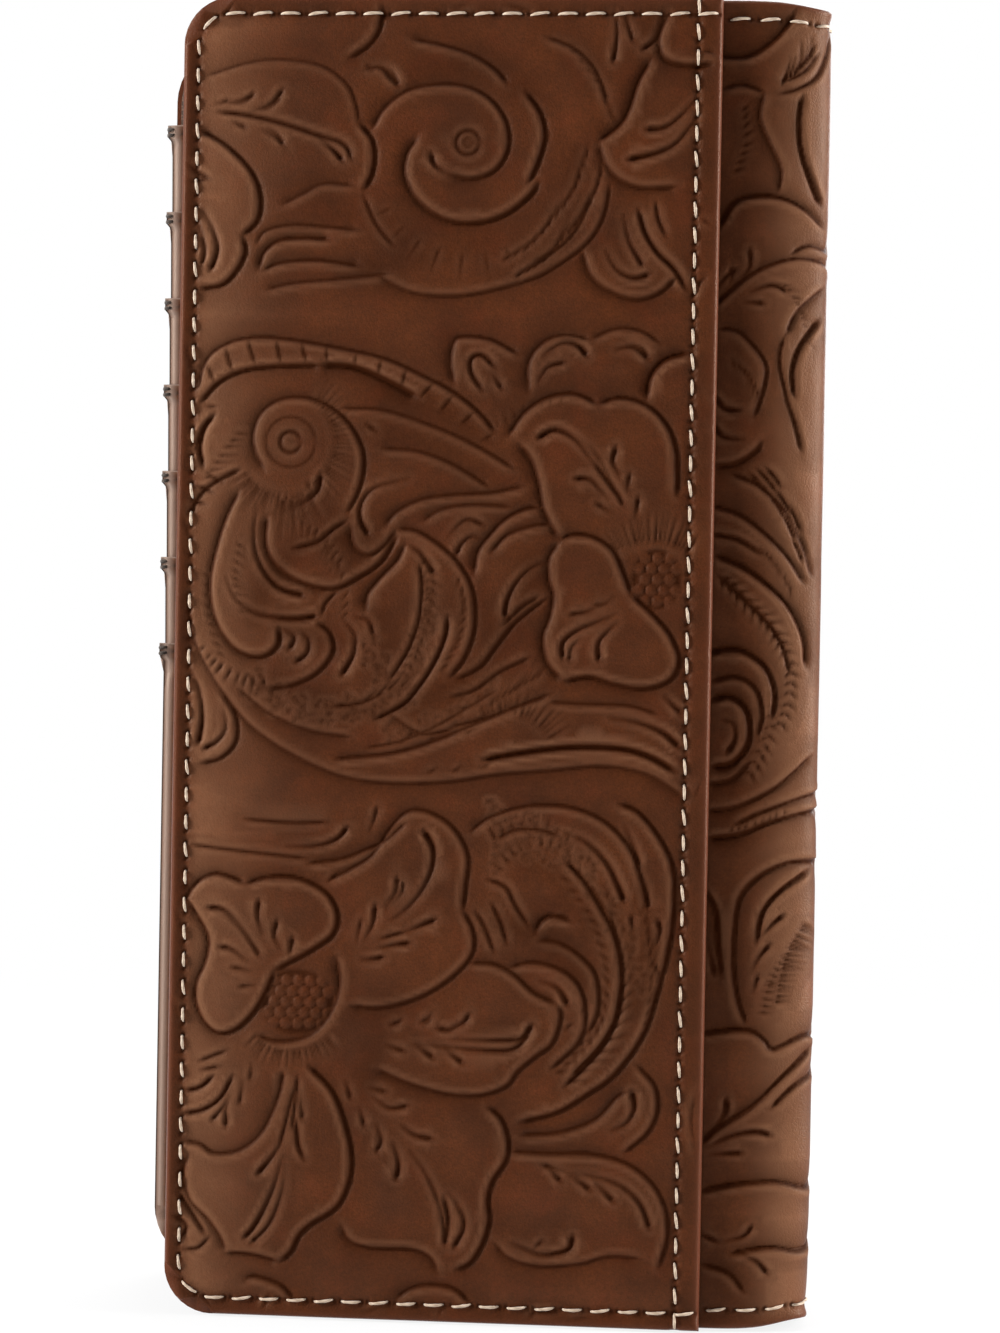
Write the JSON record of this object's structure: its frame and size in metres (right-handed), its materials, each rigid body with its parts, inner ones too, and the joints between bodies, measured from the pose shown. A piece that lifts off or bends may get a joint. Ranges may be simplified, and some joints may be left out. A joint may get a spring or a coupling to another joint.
{
  "type": "western wallet",
  "caption": "Long book-fold western wallet in floral tooled brown leather with a back slip pocket, zipped coin pocket, accordion bill space and card slots.",
  "frame": {"origin": "centre of the closed wallet's outer box on the surface it stands on, one short end down", "axes": "+Z along the wallet's length, +X towards the spine, -Y out of the pictured back face with its slip pocket, +Y out of the front cover"},
  "size_m": [0.0996, 0.0272, 0.19],
  "materials": {
    "tooled_leather": "mid brown pull-up leather with pressed floral tooling, darkened in the grooves, satin",
    "inner_leather": "plain smooth brown leather, satin",
    "lining_cloth": "brown twill lining cloth, matte",
    "gusset_cloth": "dark brown pleated gusset cloth, matte",
    "zip_tape": "dark brown woven zip tape, matte",
    "antique_brass": "antique brass, slightly worn",
    "board": "grey-brown paper board, hidden between leather and lining"
  },
  "bodies": {
    "wallet_body": {"slip_pocket_panel": "tooled_leather", "back_cover_leather": "tooled_leather", "back_board": "board", "back_lining": "lining_cloth", "bill_divider": "lining_cloth", "accordion_gusset_bottom": "gusset_cloth", "accordion_gusset_top": "gusset_cloth", "compartment_floor": "gusset_cloth", "coin_pocket_wall": "lining_cloth", "coin_gusset_bottom": "gusset_cloth", "coin_gusset_top": "gusset_cloth", "front_panel": "inner_leather", "cheque_pocket": "inner_leather", "receipt_pocket": "inner_leather", "zip_tape_fore": "zip_tape", "zip_tape_spine": "zip_tape", "zip_teeth_fore": "antique_brass", "zip_teeth_spine": "antique_brass", "zip_top_stop_fore": "antique_brass", "zip_top_stop_spine": "antique_brass", "zip_bottom_stop": "antique_brass"},
    "spine": {"spine_leather": "tooled_leather", "spine_lining": "lining_cloth"},
    "front_cover": {"front_cover_leather": "tooled_leather", "front_cover_board": "board", "front_cover_lining": "lining_cloth", "card_slot_1": "inner_leather", "card_slot_2": "inner_leather", "card_slot_3": "inner_leather", "card_slot_4": "inner_leather", "card_slot_5": "inner_leather", "card_slot_6": "inner_leather", "lower_card_panel": "inner_leather"},
    "slider": {"zip_slider": "antique_brass"},
    "pull": {"zip_pull": "antique_brass"}
  },
  "joints": [
    {"name": "spine_fold", "type": "hinge", "parent": "wallet_body", "child": "spine", "pos_m": [0.04853, -0.01054, 0], "axis": [0, 0, -1], "range_deg": [0, 90]},
    {"name": "front_fold", "type": "hinge", "parent": "spine", "child": "front_cover", "pos_m": [0.04853, 0.01224, 0], "axis": [0, 0, -1], "range_deg": [0, 90]},
    {"name": "zip_slide", "type": "slide", "parent": "wallet_body", "child": "slider", "axis": [0, 0, 1], "range_m": [0, 0.1464]},
    {"name": "pull_swing", "type": "hinge", "parent": "slider", "child": "pull", "pos_m": [0.03085, 0.00664, 0.0305], "axis": [0, 1, 0], "range_deg": [-25, 25]}
  ]
}
